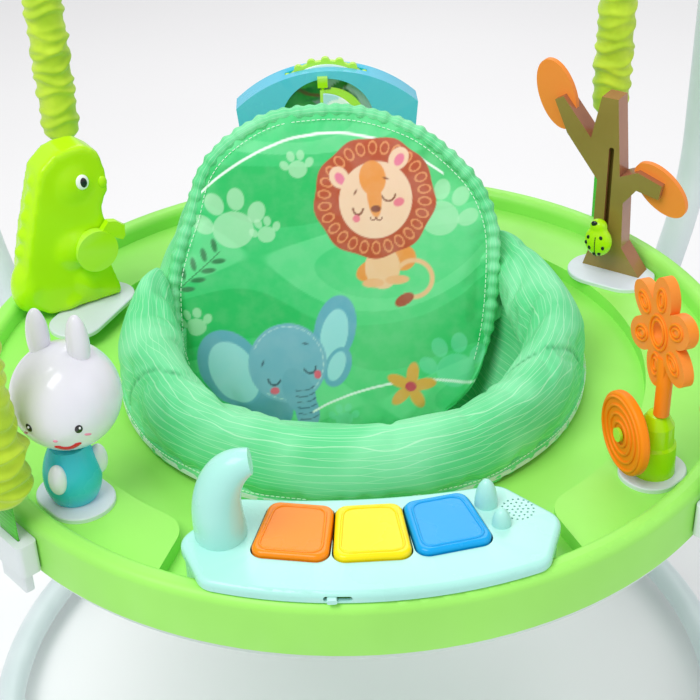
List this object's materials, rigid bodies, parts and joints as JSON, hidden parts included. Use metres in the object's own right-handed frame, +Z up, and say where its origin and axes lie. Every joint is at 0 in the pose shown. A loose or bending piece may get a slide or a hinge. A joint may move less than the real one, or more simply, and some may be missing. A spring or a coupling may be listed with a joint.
{
  "type": "activity jumper",
  "caption": "Round toy tray hung from four curved posts by sleeved springs and straps, with a turning padded fabric seat, toy piano, crank, slider, spinner and picture-wheel toys.",
  "frame": {"origin": "centre of the footprint, on the floor", "axes": "+Z up, -Y towards the front where the piano is, +X to the seated child's left as seen from the front"},
  "size_m": [0.8056, 0.74, 0.825],
  "materials": {
    "frame_tube": "satin powder coat",
    "frame_plastic": "satin moulded",
    "foot_rubber": "matt",
    "bare_steel": "drawn wire",
    "sleeve_fabric": "woven polyester",
    "webbing": "ribbed webbing",
    "tray_green": "satin moulded",
    "tray_under": "fine texture",
    "plate_grey": "satin moulded",
    "piano_mint": "gloss",
    "electronics": "board and cells",
    "key_orange": "gloss",
    "key_yellow": "gloss",
    "key_blue": "gloss",
    "toy_white": "gloss",
    "toy_teal": "gloss",
    "toy_lime": "gloss",
    "tree_brown": "satin moulded",
    "silicone_orange": "matt silicone",
    "arch_blue": "gloss",
    "seat_fabric": "printed satin polyester"
  },
  "bodies": {
    "frame": {"post_rear_right": "frame_tube", "post_rear_left": "frame_tube", "post_front_left": "frame_tube", "post_front_right": "frame_tube", "base_tubes_long": "frame_tube", "base_tubes_wide": "frame_tube", "foot_housings": "frame_plastic", "foot_pads": "foot_rubber", "post_caps": "frame_plastic", "spring_pins": "bare_steel", "bounce_springs": "bare_steel", "spring_sleeves": "sleeve_fabric"},
    "tray": {"webbing_straps": "webbing", "strap_hooks": "bare_steel", "strap_adjusters": "frame_plastic", "rim_brackets": "frame_plastic", "tray_top": "tray_green", "tray_bottom": "tray_under", "tray_screws": "bare_steel", "seat_rollers": "tray_under", "piano_case": "piano_mint", "battery_door": "piano_mint", "piano_top": "piano_mint", "key_springs": "bare_steel", "piano_board": "electronics", "piano_batteries": "electronics", "piano_speaker": "electronics", "piano_hump": "piano_mint", "piano_domes": "piano_mint", "toy_plates": "plate_grey", "bunny_body": "toy_teal", "bunny_head": "toy_white", "bunny_ears": "toy_white", "bunny_arms": "toy_white", "dino_front": "toy_lime", "dino_rear": "toy_lime", "tree_trunk": "tree_brown", "leaf_left": "silicone_orange", "leaf_right": "silicone_orange", "flower_stump": "toy_lime", "flower_teether": "silicone_orange", "arch_front": "arch_blue", "arch_rear": "arch_blue", "page_post": "toy_lime"},
    "seat": {"seat_ring": "tray_under", "seat_bolster": "seat_fabric", "seat_back": "seat_fabric", "seat_bucket": "seat_fabric"},
    "orange_key": {"key_orange": "key_orange"},
    "yellow_key": {"key_yellow": "key_yellow"},
    "blue_key": {"key_blue": "key_blue"},
    "switch": {"switch_knob": "piano_mint"},
    "crank": {"dino_crank": "toy_lime"},
    "ladybird": {"ladybug": "toy_lime"},
    "ring": {"ring_disc": "silicone_orange"},
    "wheel": {"picture_wheel": "toy_lime"},
    "page": {"picture_page": "toy_lime"}
  },
  "joints": [
    {"name": "tray_bounce", "type": "slide", "parent": "frame", "child": "tray", "axis": [0, 0, 1], "range_m": [-0.08, 0.015], "stiffness_N_per_m": 2500, "springref_m": 0.0229, "deforming": ["bounce_springs"]},
    {"name": "seat_swivel", "type": "hinge", "parent": "tray", "child": "seat", "pos_m": [0, 0, 0.4], "axis": [0, 0, 1], "continuous": true},
    {"name": "orange_key_press", "type": "hinge", "parent": "tray", "child": "orange_key", "pos_m": [-0.04823, -0.23919, 0.423], "axis": [0.9803, -0.1977, 0], "range_deg": [0, 3], "stiffness_Nm_per_rad": 0.6, "springref_deg": -3.44},
    {"name": "yellow_key_press", "type": "hinge", "parent": "tray", "child": "yellow_key", "pos_m": [0, -0.244, 0.423], "axis": [1, 0, 0], "range_deg": [0, 3], "stiffness_Nm_per_rad": 0.6, "springref_deg": -3.44},
    {"name": "blue_key_press", "type": "hinge", "parent": "tray", "child": "blue_key", "pos_m": [0.04823, -0.23919, 0.423], "axis": [0.9803, 0.1977, 0], "range_deg": [0, 3], "stiffness_Nm_per_rad": 0.6, "springref_deg": -3.44},
    {"name": "switch_slide", "type": "slide", "parent": "tray", "child": "switch", "axis": [1, 0, 0], "range_m": [0, 0.008]},
    {"name": "crank_turn", "type": "hinge", "parent": "tray", "child": "crank", "pos_m": [-0.23061, 0.1132, 0.464], "axis": [0.5, -0.866, 0], "continuous": true},
    {"name": "ladybird_slide", "type": "slide", "parent": "tray", "child": "ladybird", "axis": [0, 0, 1], "range_m": [0, 0.07]},
    {"name": "ring_spin", "type": "hinge", "parent": "tray", "child": "ring", "pos_m": [0.22096, -0.18014, 0.444], "axis": [-0.9659, -0.2588, 0], "continuous": true},
    {"name": "wheel_spin", "type": "hinge", "parent": "tray", "child": "wheel", "pos_m": [-0.008, 0.291, 0.512], "axis": [0, -1, 0], "continuous": true},
    {"name": "page_turn", "type": "hinge", "parent": "tray", "child": "page", "pos_m": [-0.012, 0.274, 0.506], "axis": [0, 0, -1], "range_deg": [0, 170]}
  ]
}
